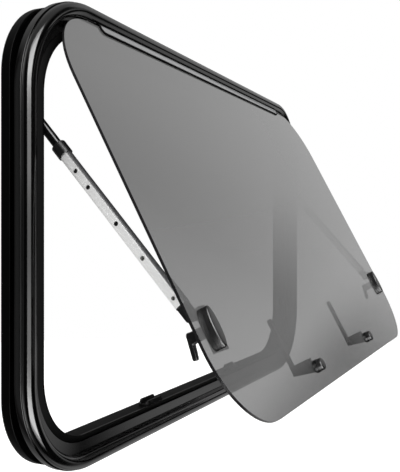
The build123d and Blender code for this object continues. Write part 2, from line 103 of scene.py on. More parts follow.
def add_node(
    tree: Tree,
    kind: str,
    settings: dict[str | int, object] | None = None,
    links: dict[str | int, Socket] | None = None,
) -> bpy.types.Node:
    """Add a node with its settings and links.

    Args:
        tree: Node tree of a material or of the world.
        kind: Type name of the node.
        settings: Values by input name or number, or by property name where no input has that name.
        links: Output sockets by the input that they go to.

    Returns:
        The new node.
    """
    node = tree.nodes.new(kind)
    for name, value in (settings or {}).items():
        if isinstance(name, int) or name in node.inputs:
            node.inputs[name].default_value = value
        else:
            setattr(node, name, value)
    for name, socket in (links or {}).items():
        tree.links.new(socket, node.inputs[name])
    return node


def new_material(name: str) -> tuple[Material, Tree, bpy.types.Node]:
    """Start a node material with an output and nothing else.

    Args:
        name: Name of the real material.

    Returns:
        The material, its tree and its output node.
    """
    material = bpy.data.materials.new(name)
    material.use_nodes = True
    tree = material.node_tree
    tree.nodes.clear()
    return material, tree, add_node(tree, "ShaderNodeOutputMaterial")


def mixed(tree: Tree, share: Socket, first: Socket, second: Socket) -> Socket:
    """Mix two shaders.

    Args:
        tree: Node tree of the material.
        share: Share of the second shader.
        first: Shader that shows where the share is 0.
        second: Shader that shows where the share is 1.

    Returns:
        The mixed shader.
    """
    return add_node(tree, "ShaderNodeMixShader", None, {0: share, 1: first, 2: second}).outputs["Shader"]


@dataclass(frozen=True)
class Grain:
    """How a surface is broken up: strength and depth of its bumps in millimetres, and its roughness."""

    strength: float
    depth: float
    roughness: float
    spread: Point

    def shader(
        self, tree: Tree, height: Socket, gloss: Socket, settings: dict[str | int, object]
    ) -> Socket:
        """Add a shader whose surface follows a pattern.

        Args:
            tree: Node tree of the material.
            height: Pattern of the bumps.
            gloss: Pattern of the roughness.
            settings: Other values of the shader.

        Returns:
            The shader.
        """
        bumps = {"Strength": self.strength, "Distance": self.depth * MM}
        bump = add_node(tree, "ShaderNodeBump", bumps, {"Height": height})
        low, high = (self.roughness * share for share in self.spread)
        rough = add_node(tree, "ShaderNodeMapRange", {"To Min": low, "To Max": high}, {"Value": gloss})
        links = {"Roughness": rough.outputs["Result"], "Normal": bump.outputs["Normal"]}
        return add_node(tree, "ShaderNodeBsdfPrincipled", settings, links).outputs["BSDF"]


# Small helpers for modelling


def deselect_all() -> None:
    """Leave edit mode with nothing selected."""
    if bpy.context.object is not None and bpy.context.object.mode != "OBJECT":
        bpy.ops.object.mode_set(mode="OBJECT")
    bpy.ops.object.select_all(action="DESELECT")


def take_up(piece: Piece, edit: bool = False) -> None:
    """Make one piece the only selected one, in edit mode if asked.

    Args:
        piece: Object to work on.
        edit: Whether to enter edit mode.
    """
    deselect_all()
    piece.select_set(True)
    bpy.context.view_layer.objects.active = piece
    if edit:
        bpy.ops.object.mode_set(mode="EDIT")


def extrude(way: Iterable[float]) -> None:
    """Extrude what is selected in edit mode.

    Args:
        way: How far to go, in metres.
    """
    bpy.ops.mesh.extrude_region_move(TRANSFORM_OT_translate={"value": way})


def pick(piece: Piece, test: Callable[[Vector], bool]) -> None:
    """Select vertices in edit mode by their place.

    Args:
        piece: Object in edit mode.
        test: Takes the place of a vertex and says whether it is picked.
    """
    bpy.ops.mesh.select_mode(type="VERT")
    bpy.ops.mesh.select_all(action="DESELECT")
    mesh = bmesh.from_edit_mesh(piece.data)
    for vertex in mesh.verts:
        if test(vertex.co):
            vertex.select_set(True)
    mesh.select_flush_mode()
    bmesh.update_edit_mesh(piece.data)


def apply_modifier(piece: Piece, kind: str, **settings: object) -> None:
    """Add a modifier to a piece and apply it.

    Args:
        piece: Object to change.
        kind: Type of the modifier.
        settings: Values of the modifier.
    """
    take_up(piece)
    modifier = piece.modifiers.new(kind.title(), kind)
    for name, value in settings.items():
        setattr(modifier, name, value)
    bpy.ops.object.modifier_apply(modifier=modifier.name)


def combine(piece: Piece, tool: Piece, operation: str) -> None:
    """Join a tool to a piece, or cut it out of the piece, and remove the tool.

    Args:
        piece: Object to change.
        tool: Object that is used up.
        operation: UNION or DIFFERENCE.
    """
    apply_modifier(piece, "BOOLEAN", object=tool, operation=operation, solver="EXACT")
    bpy.data.objects.remove(tool)


def placed_copy(pattern: Piece, name: str, place: Vector, turn: Matrix) -> Piece:
    """Copy a modelled piece with its own mesh to a place.

    Args:
        pattern: The modelled piece.
        name: Name of the copy.
        place: Where its origin goes, in metres.
        turn: How it is turned.

    Returns:
        The copy, with its place in its own mesh.
    """
    piece = bpy.data.objects.new(name, pattern.data.copy())
    bpy.context.scene.collection.objects.link(piece)
    piece.matrix_world = Matrix.Translation(place) @ turn.to_4x4()
    take_up(piece)
    bpy.ops.object.transform_apply(location=True, rotation=True, scale=True)
    return piece


def close_up(piece: Piece, smooth_angle: float) -> None:
    """Merge doubles, turn the faces outwards and smooth the shading.

    Args:
        piece: Object to finish.
        smooth_angle: Largest angle between faces that is shaded smooth, in degrees.
    """
    take_up(piece, edit=True)
    bpy.ops.mesh.select_all(action="SELECT")
    bpy.ops.mesh.remove_doubles(threshold=SOLID_MERGE)
    bpy.ops.mesh.normals_make_consistent(inside=False)
    bpy.ops.object.mode_set(mode="OBJECT")
    bpy.ops.object.shade_smooth_by_angle(angle=radians(smooth_angle))


def ease_edges(piece: Piece, edge: float) -> None:
    """Round the sharp edges of a piece a little and smooth its shading.

    Args:
        piece: Object to change.
        edge: Width of the eased edges in millimetres, or 0 for none.
    """
    if edge > 0:
        apply_modifier(
            piece, "BEVEL", width=edge * MM, segments=2 if edge < BROAD_EDGE else 4, limit_method="ANGLE",
            angle_limit=radians(EDGE_ANGLE), use_clamp_overlap=True,
        )
    take_up(piece)
    bpy.ops.object.shade_smooth_by_angle(angle=radians(SMOOTH_ANGLE))


def eased_copy(node: str, name: str, edge: float) -> Piece:
    """Copy a solid of the frame with its edges eased as on the made piece.

    Args:
        node: Name of the solid.
        name: Name of the new piece.
        edge: Width of the eased edges in millimetres, or 0 for none.

    Returns:
        The copy, at the solid's own place.
    """
    source = bpy.data.objects[node]
    piece = bpy.data.objects.new(name, source.data.copy())
    bpy.context.scene.collection.objects.link(piece)
    piece.data.materials.clear()
    take_up(piece, edit=True)
    bpy.ops.mesh.select_all(action="SELECT")
    bpy.ops.mesh.customdata_custom_splitnormals_clear()
    bpy.ops.mesh.remove_doubles(threshold=SOLID_MERGE)
    bpy.ops.mesh.dissolve_limited(angle_limit=radians(FLAT_ANGLE))
    bpy.ops.object.mode_set(mode="OBJECT")
    ease_edges(piece, edge)
    return piece


def dress(piece: Piece, material: Material, body: str, nodes: Iterable[str] = ()) -> None:
    """Give a piece its finish and tie it to the frame.

    Args:
        piece: Finished piece.
        material: Its material.
        body: Body that carries the piece.
        nodes: Solids that the piece stands for.
    """
    piece.data.materials.clear()
    piece.data.materials.append(material)
    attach(piece, body)
    for node in nodes:
        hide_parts(node)
    log.info("%s rides on %s", piece.name, body)


# Finishes


@dataclass(frozen=True)
class PowderCoat:
    """Gloss black powder coat on aluminium: deep black with a faint orange peel that softens highlights."""

    colour: str = "#030303"
    roughness: float = 0.13
    specular: float = 0.5
    peel: float = 2.4
    peel_depth: float = 0.02
    cloud: float = 40.0

    def make(self) -> Material:
        """Build the material and return it."""
        material, tree, output = new_material("powder_coated_aluminium")
        place = add_node(tree, "ShaderNodeTexCoord")
        peel = add_node(
            tree, "ShaderNodeTexNoise", {"Scale": 1 / (self.peel * MM), "Detail": 1.5, "Roughness": 0.45},
            {"Vector": place.outputs["Object"]},
        )
        cloud = add_node(
            tree, "ShaderNodeTexNoise", {"Scale": 1 / (self.cloud * MM), "Detail": 3.0},
            {"Vector": place.outputs["Object"]},
        )
        shader = Grain(0.25, self.peel_depth, self.roughness, (0.85, 1.15)).shader(
            tree, peel.outputs["Fac"], cloud.outputs["Fac"],
            {"Base Color": linear(self.colour), "IOR": 1.5, "Specular IOR Level": self.specular},
        )
        tree.links.new(shader, output.inputs["Surface"])
        return material


@dataclass(frozen=True)
class MouldedNylon:
    """Black glass-filled nylon, moulded: a dull sheen broken by a fine spark-eroded grain."""

    name: str = "moulded_nylon"
    colour: str = "#0D0D0E"
    roughness: float = 0.38
    grain: float = 0.45
    grain_depth: float = 0.03
    specular: float = 0.5

    def make(self) -> Material:
        """Build the material and return it."""
        material, tree, output = new_material(self.name)
        place = add_node(tree, "ShaderNodeTexCoord")
        grain = add_node(
            tree, "ShaderNodeTexNoise", {"Scale": 1 / (self.grain * MM), "Detail": 2.0},
            {"Vector": place.outputs["Object"]},
        )
        shader = Grain(0.3, self.grain_depth, self.roughness, (0.85, 1.2)).shader(
            tree, grain.outputs["Fac"], grain.outputs["Fac"],
            {"Base Color": linear(self.colour), "IOR": 1.5, "Specular IOR Level": self.specular},
        )
        tree.links.new(shader, output.inputs["Surface"])
        return material


@dataclass(frozen=True)
class SashPlace:
    """How the open pane lies: its slope in degrees, and the depth and height of its top edge's middle."""

    slope: float = 28.0
    top: Point = (-12.867, 467.952)

    @property
    def out(self) -> Vector:
        """Direction out of the pane's outer face."""
        return Vector((0, -cos(radians(self.slope)), sin(radians(self.slope))))

    @property
    def down(self) -> Vector:
        """Direction down the pane's slope."""
        return Vector((0, -sin(radians(self.slope)), -cos(radians(self.slope))))

    def along(self, tree: Tree, place: Socket, way: Vector, ends: Point, values: Point) -> Socket:
        """Give a value that changes with the distance from the pane's top edge in one direction.

        Args:
            tree: The material's node tree.
            place: Object coordinates.
            way: Direction of the distance.
            ends: Distances in millimetres where the change starts and stops.
            values: Values there.

        Returns:
            The value.
        """
        offset = Vector((0, *self.top)).dot(way)
        reach = add_node(tree, "ShaderNodeVectorMath", {"operation": "DOT_PRODUCT", 1: way}, {0: place})
        span = add_node(
            tree, "ShaderNodeMapRange",
            {
                "interpolation_type": "SMOOTHSTEP", "From Min": (offset + ends[0]) * MM,
                "From Max": (offset + ends[1]) * MM, "To Min": values[0], "To Max": values[1],
            },
            {"Value": reach.outputs["Value"]},
        )
        return span.outputs["Result"]


@dataclass(frozen=True)
class DrawnMetal:
    """Metal with the fine lines that drawing or brushing leaves along it."""

    name: str
    colour: str
    roughness: float
    line: float
    run: float
    tilt: float = 0.0
    depth: float = 0.008
    metallic: float = 1.0

    def surface(self, tree: Tree, place: Socket) -> Socket:
        """Build the metal's shader.

        Args:
            tree: The material's node tree.
            place: Object coordinates.

        Returns:
            The shader's output.
        """
        turned = add_node(
            tree, "ShaderNodeMapping", {"vector_type": "TEXTURE", "Rotation": (radians(self.tilt), 0, 0)},
            {"Vector": place},
        )
        stretched = add_node(
            tree, "ShaderNodeMapping",
            {"Scale": (1 / (self.line * MM), 1 / (self.line * MM), 1 / (self.run * MM))},
            {"Vector": turned.outputs["Vector"]},
        )
        lines = add_node(
            tree, "ShaderNodeTexNoise", {"Scale": 1.0, "Detail": 3.0, "Roughness": 0.6},
            {"Vector": stretched.outputs["Vector"]},
        )
        return Grain(0.3, self.depth, self.roughness, (0.75, 1.3)).shader(
            tree, lines.outputs["Fac"], lines.outputs["Fac"],
            {"Base Color": linear(self.colour), "Metallic": self.metallic},
        )

    def make(self) -> Material:
        """Build the material and return it."""
        material, tree, output = new_material(self.name)
        place = add_node(tree, "ShaderNodeTexCoord")
        tree.links.new(self.surface(tree, place.outputs["Object"]), output.inputs["Surface"])
        return material


@dataclass(frozen=True)
class HingeMetal(DrawnMetal):
    """Drawn metal whose rod and neck, above the glass, carry painted shadow, black as in the gap under the
    frame's top bead, so that the notch shows no bright line.
    """

    # Painted shadow over the rod and neck above the glass: its colour, roughness, specular level and where
    # it fades out down the slope.
    knuckle: str = "#040404"
    knuckle_roughness: float = 0.6
    knuckle_specular: float = 0.2
    knuckle_end: Point = (-1.9, -1.65)
    lie: SashPlace = SashPlace()

    def surface(self, tree: Tree, place: Socket) -> Socket:
        """Build the metal's shader with painted shadow, black and dull, over the rod and neck above the
        glass.

        Args:
            tree: The material's node tree.
            place: Object coordinates.

        Returns:
            The shader's output.
        """
        metal = super().surface(tree, place)
        # Painted shadow: a black, dull shader laid over the hinge above the glass, where the gap under the
        # bead lies in shadow.
        black = add_node(
            tree, "ShaderNodeBsdfPrincipled",
            {
                "Base Color": linear(self.knuckle), "Roughness": self.knuckle_roughness,
                "Specular IOR Level": self.knuckle_specular,
            },
        )
        above = self.lie.along(tree, place, self.lie.down, self.knuckle_end, (1.0, 0.0))
        return mixed(tree, above, metal, black.outputs["BSDF"])


@dataclass(frozen=True)
class TubeMetal(DrawnMetal):
    """Brushed tube with painted shadow: the side that faces out and up, towards the open pane, is darker
    than the rest.
    """

    # Painted shadow on the tube's side towards the open pane: its colour and roughness, the way it faces,
    # and where it starts and is full.
    edge: str = "#68686A"
    edge_roughness: float = 0.4
    edge_way: tuple[float, float, float] = (0.0, -0.748, 0.664)
    edge_start: float = 0.42
    edge_full: float = 0.6

    def surface(self, tree: Tree, place: Socket) -> Socket:
        """Build the metal's shader with the painted shadow over it.

        Args:
            tree: The material's node tree.
            place: Object coordinates.

        Returns:
            The shader's output.
        """
        metal = super().surface(tree, place)
        # Painted shadow: a darker grey shader laid on the side that faces the open pane.
        dark = add_node(
            tree, "ShaderNodeBsdfPrincipled",
            {"Base Color": linear(self.edge), "Roughness": self.edge_roughness},
        )
        facing = add_node(
            tree, "ShaderNodeVectorMath", {"operation": "DOT_PRODUCT", 1: self.edge_way},
            {0: add_node(tree, "ShaderNodeTexCoord").outputs["Normal"]},
        )
        in_painted_pane_shadow = add_node(
            tree, "ShaderNodeMapRange", {"From Min": self.edge_start, "From Max": self.edge_full},
            {"Value": facing.outputs["Value"]},
        )
        return mixed(tree, in_painted_pane_shadow.outputs["Result"], metal, dark.outputs["BSDF"])


@dataclass(frozen=True)
class TintedGlass:
    """Grey toughened glass with dark edges and a painted reflection: an opaque grey sheet on its outer face
    that fades out down the pane.
    """

    tint: str = "#818181"
    # Painted reflection: an opaque grey sheet on the outer face, standing in for the bright reflection that
    # hides the frame behind the upper pane.
    shade: str = "#6D6D6D"
    shade_share: float = 0.97
    shade_start: float = 165.0
    shade_end: float = 405.0
    edge: str = "#1A1A1B"
    edge_roughness: float = 0.25
    outer_face: Point = (-0.2, 0.2)
    face_turn: Point = (0.45, 0.55)
    lie: SashPlace = SashPlace()

    def make(self) -> Material:
        """Build the material and return it."""
        material, tree, output = new_material("tinted_toughened_glass")
        body = add_node(
            tree, "ShaderNodeBsdfPrincipled",
            {"Base Color": linear(self.tint), "Roughness": 0.0, "IOR": 1.5, "Transmission Weight": 1.0},
        )
        rim = add_node(
            tree, "ShaderNodeBsdfPrincipled",
            {"Base Color": linear(self.edge), "Roughness": self.edge_roughness, "IOR": 1.5},
        )
        place = add_node(tree, "ShaderNodeTexCoord")
        # Painted reflection: full near the top edge and fading out down the pane, on the outer face only.
        fade = self.lie.along(
            tree, place.outputs["Object"], self.lie.down, (self.shade_start, self.shade_end),
            (self.shade_share, 0.0),
        )
        outside = self.lie.along(tree, place.outputs["Object"], self.lie.out, self.outer_face, (0.0, 1.0))
        painted_reflection_mask = add_node(tree, "ShaderNodeMath", {"operation": "MULTIPLY"}, {0: fade, 1: outside})
        shade = add_node(
            tree, "ShaderNodeBsdfPrincipled",
            {"Base Color": linear(self.shade), "Roughness": 0.0, "IOR": 1.5},
        )
        sheet = mixed(tree, painted_reflection_mask.outputs["Value"], body.outputs["BSDF"], shade.outputs["BSDF"])
        facing = add_node(
            tree, "ShaderNodeVectorMath", {"operation": "DOT_PRODUCT", 1: self.lie.out},
            {0: place.outputs["Normal"]},
        )
        flat = add_node(tree, "ShaderNodeMath", {"operation": "ABSOLUTE"}, {0: facing.outputs["Value"]})
        is_face = add_node(
            tree, "ShaderNodeMapRange", {"From Min": self.face_turn[0], "From Max": self.face_turn[1]},
            {"Value": flat.outputs["Value"]},
        )
        both = mixed(tree, is_face.outputs["Result"], rim.outputs["BSDF"], sheet)
        tree.links.new(both, output.inputs["Surface"])
        return material


class Finishes:
    """All finishes of the window, each made once."""

    def __init__(self) -> None:
        """Make every material."""
        self.coat = PowderCoat().make()
        self.clamp = PowderCoat(roughness=0.42, specular=0.06).make()
        self.rubber = MouldedNylon("epdm_rubber", "#060606", 0.55, 0.6, 0.02, 0.03).make()
        self.glass = TintedGlass().make()
        self.hinge = HingeMetal("satin_anodised_aluminium", "#B6B7B8", 0.34, 0.25, 30.0).make()
        tube = TubeMetal("brushed_anodised_tube", "#F6F6F6", 0.42, 0.3, 40.0, 41.6, metallic=0.05)
        self.tube = tube.make()
        self.nylon = MouldedNylon().make()
        self.polished = MouldedNylon("polished_nylon", "#080809", 0.34, 0.8, 0.01, 0.5).make()
        self.steel = MouldedNylon("black_oxide_steel", "#0A0A0B", 0.3, 0.8, 0.01).make()
        self.bright = DrawnMetal("zinc_plated_steel", "#C4C4C0", 0.22, 0.4, 4.0).make()


# The frame's bent sections


@dataclass
class BentSection:
    """A section that is carried round the window's outline, with sizes in millimetres.

    Places in the section are given as the inset from the flange's edge and the height out of the wall.
    """

    width: float = 850.0
    height: float = 500.0
    corner: float = 108.0
    bottom: float = -12.5
    corner_steps: int = 24

    def place(self, inset: float, front: float) -> Vector:
        """Return the world place of a point of the section at the middle of the bottom."""
        return Vector((0, -front, self.bottom + inset)) * MM

    def start(self, name: str, first: Point) -> Piece:
        """Begin a section as one vertex.

        Args:
            name: Name of the new piece.
            first: First point of the section.

        Returns:
            The object, in edit mode with the vertex selected.
        """
        deselect_all()
        bpy.ops.mesh.primitive_plane_add(size=MM, location=self.place(*first))
        piece = bpy.context.object
        piece.name = name
        bpy.ops.object.transform_apply(location=True, rotation=True, scale=True)
        bpy.ops.object.mode_set(mode="EDIT")
        bpy.ops.mesh.select_mode(type="VERT")
        bpy.ops.mesh.select_all(action="SELECT")
        bpy.ops.mesh.merge(type="CENTER")
        return piece

    def draw(self, points: Iterable[Point], here: Point) -> None:
        """Extrude the last vertex from point to point.

        Args:
            points: Points to pass, in order.
            here: Point where the last vertex is.
        """
        for point in points:
            extrude(self.place(*point) - self.place(*here))
            here = point

    def ease(self, piece: Piece, points: Iterable[Point], radius: float) -> None:
        """Round some corners of the section.

        Args:
            piece: Object in edit mode.
            points: Corners to round.
            radius: How far along each side the rounding starts, in millimetres.
        """
        places = [self.place(*p) for p in points]
        pick(piece, lambda v: any((v - p).length < 2 * SECTION_MERGE for p in places))
        bpy.ops.mesh.bevel(offset=radius * MM, segments=4, affect="VERTICES", clamp_overlap=True)

    def carry_round(self, piece: Piece) -> None:
        """Sweep the drawn section round the outline by extruding the straights and spinning the corners.

        Args:
            piece: Object in edit mode that holds the closed section.
        """
        half = self.width / 2 - self.corner
        low = self.bottom + self.corner
        high = self.bottom + self.height - self.corner
        bpy.ops.mesh.select_all(action="SELECT")
        turns = (
            ((half, 0, 0), (half, low)),
            ((0, 0, high - low), (half, high)),
            ((-2 * half, 0, 0), (-half, high)),
            ((0, 0, low - high), (-half, low)),
        )
        for run, (x, z) in turns:
            extrude(Vector(run) * MM)
            bpy.ops.mesh.spin(
                steps=self.corner_steps, angle=pi / 2, center=Vector((x, 0, z)) * MM, axis=(0, 1, 0)
            )
        extrude(Vector((half, 0, 0)) * MM)
        bpy.ops.object.mode_set(mode="OBJECT")

    def complete(self, piece: Piece, eases: Iterable[Ease], smooth_angle: float) -> None:
        """Merge a drawn section, round its corners, carry it round and close it.

        Args:
            piece: Object in edit mode that holds the closed section.
            eases: Groups of corners with the radius that rounds them.
            smooth_angle: Largest angle between faces that is shaded smooth, in degrees.
        """
        bpy.ops.mesh.select_all(action="SELECT")
        bpy.ops.mesh.remove_doubles(threshold=SECTION_MERGE)
        for points, radius in eases:
            self.ease(piece, points, radius)
        self.carry_round(piece)
        close_up(piece, smooth_angle)

    def sweep(
        self, name: str, corners: list[Point], eases: Iterable[Ease], smooth_angle: float = 35.0
    ) -> Piece:
        """Make a ring of a section with straight sides.

        Args:
            name: Name of the new piece.
            corners: Corners of the section, in order.
            eases: Groups of corners with the radius that rounds them.
            smooth_angle: Largest angle between faces that is shaded smooth, in degrees.

        Returns:
            The ring.
        """
        piece = self.start(name, corners[0])
        self.draw([*corners[1:], corners[0]], corners[0])
        self.complete(piece, eases, smooth_angle)
        return piece


@dataclass
class OuterFrame(BentSection):
    """Bent extrusion outside the wall: rim, round bead, flat land, seal ledge and spigot."""

    rim: float = 7.5
    groove: float = 2.5
    groove_depth: float = 2.2
    bead: float = 7.5
    setback: float = 1.0
    land: float = 5.5
    spigot_outer: float = 25.5
    spigot_inner: float = 28.5
    spigot_back: float = -22.0
    ledge: float = 33.0
    ledge_front: float = 2.0
    ledge_back: float = -1.0
    bead_steps: int = 28
    notch_radius: float = 3.0
    notch_length: float = 595.2
    notch_front: float = 10.05
    notch_height: float = 473.25

    def build(self) -> Piece:
        """Model the frame and return it."""
        base = self.rim + self.groove
        bead_end = self.setback + 2 * self.bead
        corners = [
            (self.groove_depth, base),
            (self.groove_depth, self.rim),
            (0.0, self.rim),
            (0.0, 0.0),
            (self.spigot_outer, 0.0),
            (self.spigot_outer, self.spigot_back),
            (self.spigot_inner, self.spigot_back),
            (self.spigot_inner, self.ledge_back),
            (self.ledge, self.ledge_back),
            (self.ledge, self.ledge_front),
            (self.spigot_inner, self.ledge_front),
            (self.spigot_inner, self.land),
            (bead_end, self.land),
        ]
        first = (self.setback, base)
        piece = self.start("window_frame", first)
        self.draw([*corners, (bead_end, base)], first)
        bpy.ops.mesh.spin(
            steps=self.bead_steps, angle=pi, center=self.place(self.setback + self.bead, base),
            axis=(-1, 0, 0),
        )
        self.complete(piece, [([first, *corners[:2]], 0.25), (corners[2:], 0.35)], 35.0)
        self.cut_hinge_notch(piece)
        return piece

    def cut_hinge_notch(self, piece: Piece) -> None:
        """Cut the round notch that the hinge turns in along the top.

        Args:
            piece: The swept frame.
        """
        deselect_all()
        bpy.ops.mesh.primitive_cylinder_add(
            vertices=40, radius=self.notch_radius * MM, depth=self.notch_length * MM,
            location=(0, -self.notch_front * MM, self.notch_height * MM), rotation=(0, pi / 2, 0),
        )
        combine(piece, bpy.context.object, "DIFFERENCE")
        close_up(piece, 35)


@dataclass
class ClampFoot(BentSection):
    """Outer part of the inner ring: a foot on the wall and a back plate, with rather tight corners."""

    corner: float = 90.0
    inset: float = 8.0
    skin: float = 2.5
    wall: float = -12.0
    depth: float = -22.0
    back: float = -24.5
    plate_end: float = 31.0

    def build(self) -> Piece:
        """Model the foot and return it."""
        corners = [
            (self.inset, self.wall),
            (self.inset + self.skin, self.wall),
            (self.inset + self.skin, self.depth),
            (self.plate_end, self.depth),
            (self.plate_end, self.back),
            (self.inset, self.back),
        ]
        return self.sweep("clamp_foot", corners, [(corners[:-1], 0.4), (corners[-1:], 4.0)])


@dataclass
class ClampLiner(BentSection):
    """Inner part of the inner ring: a rib on the wall, a liner over the spigot and a lip at the back."""

    skin: float = 2.5
    wall: float = -12.0
    depth: float = -22.1
    back: float = -25.0
    rib_start: float = 22.0
    rib_end: float = 25.0
    reveal: float = 31.5
    liner_front: float = -1.0

    def build(self) -> Piece:
        """Model the liner and return it."""
        corners = [
            (self.rib_start, self.wall),
            (self.rib_end, self.wall),
            (self.rib_end, self.depth),
            (self.reveal - self.skin, self.depth),
            (self.reveal - self.skin, self.liner_front),
            (self.reveal, self.liner_front),
            (self.reveal, self.back),
            (self.rib_start, self.back),
        ]
        eases = [([*corners[:-2], corners[-1]], 0.35), (corners[-2:-1], 1.2)]
        return self.sweep("clamp_liner", corners, eases)


@dataclass
class GlassSeal(BentSection):
    """Rubber lip on the ledge that leans into the opening."""

    start_inset: float = 28.95
    base: float = 3.6
    lean: float = 4.0
    thickness: float = 2.2
    foot: float = 2.0
    tip: float = 8.1

    def build(self) -> Piece:
        """Model the seal and return it."""
        end = self.start_inset + self.base
        corners = [
            (self.start_inset, self.foot),
            (end, self.foot),
            (end + self.lean, self.tip),
            (end + self.lean - self.thickness, self.tip),
            (self.start_inset, self.foot + self.thickness),
        ]
        return self.sweep("rubber_seal", corners, [(corners[2:4], 0.8), (corners[4:], 0.6)], 40.0)


# Caps, hooks and keepers


@dataclass
class GlassCap:
    """Black cap on the glass: an upright wall, a round edge and a stem in the bore, in millimetres."""

    radius: float
    stretch: float
    height: float
    edge: float = 2.0
    stem: float = 3.0
    glass: float = 3.0
    clearance: float = 0.02
    sides: int = 48
    lie: SashPlace = SashPlace()

    def build(self, name: str) -> Piece:
        """Model one cap at the origin, pointing up.

        Args:
            name: Name of the pattern.

        Returns:
            The pattern.
        """
        deselect_all()
        bpy.ops.mesh.primitive_circle_add(vertices=self.sides, radius=self.radius * MM, fill_type="NGON")
        piece = bpy.context.object
        piece.name = name
        bpy.ops.object.mode_set(mode="EDIT")
        bpy.ops.mesh.select_mode(type="FACE")
        bpy.ops.mesh.select_all(action="SELECT")
        bpy.ops.transform.resize(value=(1, self.stretch, 1))
        extrude((0, 0, self.height * MM))
        bpy.ops.mesh.bevel(offset=self.edge * MM, segments=6, affect="EDGES", clamp_overlap=True)
        bpy.ops.object.mode_set(mode="OBJECT")
        deselect_all()
        bpy.ops.mesh.primitive_cylinder_add(vertices=24, radius=self.stem * MM, depth=2 * self.glass * MM)
        combine(piece, bpy.context.object, "UNION")
        close_up(piece, 35)
        return piece

    def set_on(self, pattern: Piece, name: str, spindle: Vector) -> Piece:
        """Copy the cap to its place on the glass.

        Args:
            pattern: The modelled cap.
            name: Name of the copy.
            spindle: Place on the glass's middle plane, in metres.

        Returns:
            The copy, with its place in its own mesh.
        """
        turn = Matrix((Vector((1, 0, 0)), -self.lie.down, self.lie.out)).transposed()
        place = spindle + self.lie.out * (self.glass / 2 + self.clearance) * MM
        return placed_copy(pattern, name, place, turn)


def add_caps(finish: Material, record: dict) -> None:
    """Model the round and the oval cap once each and set them over the latches' spindles.

    Args:
        finish: Material of the caps.
        record: The record, whose latch joints stand on the spindles.
    """
    joints = record["behaviour"]["joints"]
    spindles = {joint["name"]: Vector(joint["pos_m"]) for joint in joints if "pos_m" in joint}
    kinds = (
        (GlassCap(radius=7.5, stretch=1.0, height=6.0), "latch_cap", "bottom_latch"),
        (GlassCap(radius=7.75, stretch=2.7, height=6.5), "stay_cap", "side_latch"),
    )
    for cap, kind, latch in kinds:
        pattern = cap.build(f"{kind}_pattern")
        for side in Side:
            node = f"{kind}_{side.label}"
            piece = cap.set_on(pattern, f"dressed_{node}", spindles[f"{latch}_{side.label}_turn"])
            dress(piece, finish, "sash", [node])
        bpy.data.objects.remove(pattern)


def moulded_copy(node: str, name: str, edge: float, voxel: float = 0.45, passes: int = 14) -> Piece:
    """Copy a solid of the frame with all its edges run round, as on a soft moulding.

    Args:
        node: Name of the solid.
        name: Name of the new piece.
        edge: Width of the edges that are eased before that, in millimetres, or 0 for none.
        voxel: Size of the new mesh's cells.
        passes: How often the mesh is smoothed.

    Returns:
        The copy, at the solid's own place.
    """
    piece = eased_copy(node, name, edge)
    apply_modifier(piece, "REMESH", mode="VOXEL", voxel_size=voxel * MM, use_smooth_shade=True)
    apply_modifier(piece, "SMOOTH", factor=0.5, iterations=passes)
    close_up(piece, 60)
    return piece


def tall_keeper(
    node: str, name: str, edge: float, rear: float = 2.0, front: float = 0.6, crown: float = 1.5
) -> Piece:
    """Copy a keeper with its teeth raised, still clear of the shut latch.

    Args:
        node: Name of the solid.
        name: Name of the new piece.
        edge: Width of the eased edges in millimetres.
        rear: How much the inner tooth rises.
        front: How much the outer tooth rises.
        crown: How far below the top the raised vertices start.

    Returns:
        The copy, at the solid's own place.
    """
    piece = eased_copy(node, name, 0.0)
    places = [v.co for v in piece.data.vertices]
    top = max(p.z for p in places)
    middle = (max(p.y for p in places) + min(p.y for p in places)) / 2
    take_up(piece, edit=True)
    for rise, sign in ((rear, 1), (front, -1)):
        pick(piece, lambda v: v.z > top - crown * MM and (v.y - middle) * sign > 0)
        bpy.ops.transform.translate(value=(0, 0, rise * MM))
    bpy.ops.object.mode_set(mode="OBJECT")
    ease_edges(piece, edge)
    return piece


# The screws


@dataclass
class CrossScrew:
    """Pan-head screw with a cross recess, with sizes in millimetres."""

    head: float = 5.4
    height: float = 1.7
    recess: float = 3.1
    slot: float = 0.8
    depth: float = 0.9
    sides: int = 28

    def build(self) -> Piece:
        """Model one screw head at the origin, pointing up, and return it."""
        deselect_all()
        bpy.ops.mesh.primitive_circle_add(vertices=self.sides, radius=self.head / 2 * MM, fill_type="NGON")
        piece = bpy.context.object
        piece.name = "screw_pattern"
        bpy.ops.object.mode_set(mode="EDIT")
        bpy.ops.mesh.select_all(action="SELECT")
        for lift, shrink in ((0.45, 1.0), (0.25, 0.96), (0.18, 0.88), (0.12, 0.72)):
            extrude((0, 0, lift * self.height * MM))
            bpy.ops.transform.resize(value=(shrink, shrink, 1))
        bpy.ops.object.mode_set(mode="OBJECT")
        for size in ((self.recess, self.slot), (self.slot, self.recess)):
            deselect_all()
            bpy.ops.mesh.primitive_cube_add(size=1, location=(0, 0, self.height * MM))
            cutter = bpy.context.object
            cutter.dimensions = Vector((*size, 2 * self.depth)) * MM
            bpy.ops.object.transform_apply(location=True, rotation=True, scale=True)
            combine(piece, cutter, "DIFFERENCE")
        close_up(piece, 35)
        return piece

    def set_in(self, pattern: Piece, name: str, place: Vector, way: Vector) -> Piece:
        """Copy the screw to a place.

        Args:
            pattern: The modelled screw.
            name: Name of the copy.
            place: Middle of the head's underside, in millimetres.
            way: Direction that the head faces.

        Returns:
            The copy, with its place in its own mesh.
        """
        return placed_copy(pattern, name, place * MM, way.to_track_quat("Z", "Y").to_matrix())


